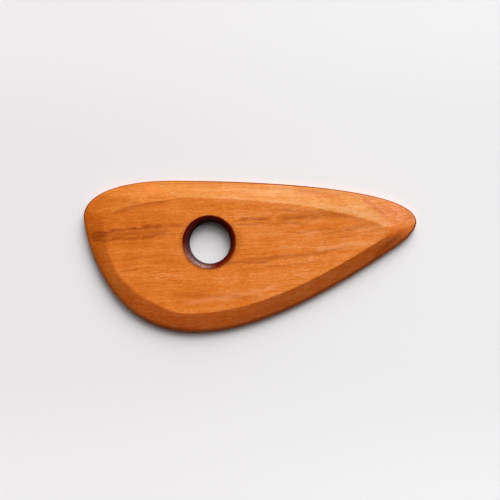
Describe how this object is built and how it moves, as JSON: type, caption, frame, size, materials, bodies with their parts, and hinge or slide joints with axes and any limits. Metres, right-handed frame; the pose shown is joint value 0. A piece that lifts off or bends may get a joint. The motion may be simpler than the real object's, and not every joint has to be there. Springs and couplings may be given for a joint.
{
  "type": "pottery rib",
  "caption": "Wooden pottery rib: a flat teardrop clay-shaping blade with a bevelled upper face, a long working edge, a pointed nose and a scorched finger hole.",
  "frame": {"origin": "on the flat underside, below the centre of the bounding box", "axes": "+X along the blade from the round heel to the tip, +Y from the belly to the back, +Z out of the bevelled upper face"},
  "size_m": [0.14, 0.064, 0.0064],
  "materials": {
    "hardwood": "oiled and hand-rubbed satin, with the finger hole and the sawn edge scorched dark"
  },
  "bodies": {
    "root": {"rib": "hardwood"}
  },
  "joints": []
}
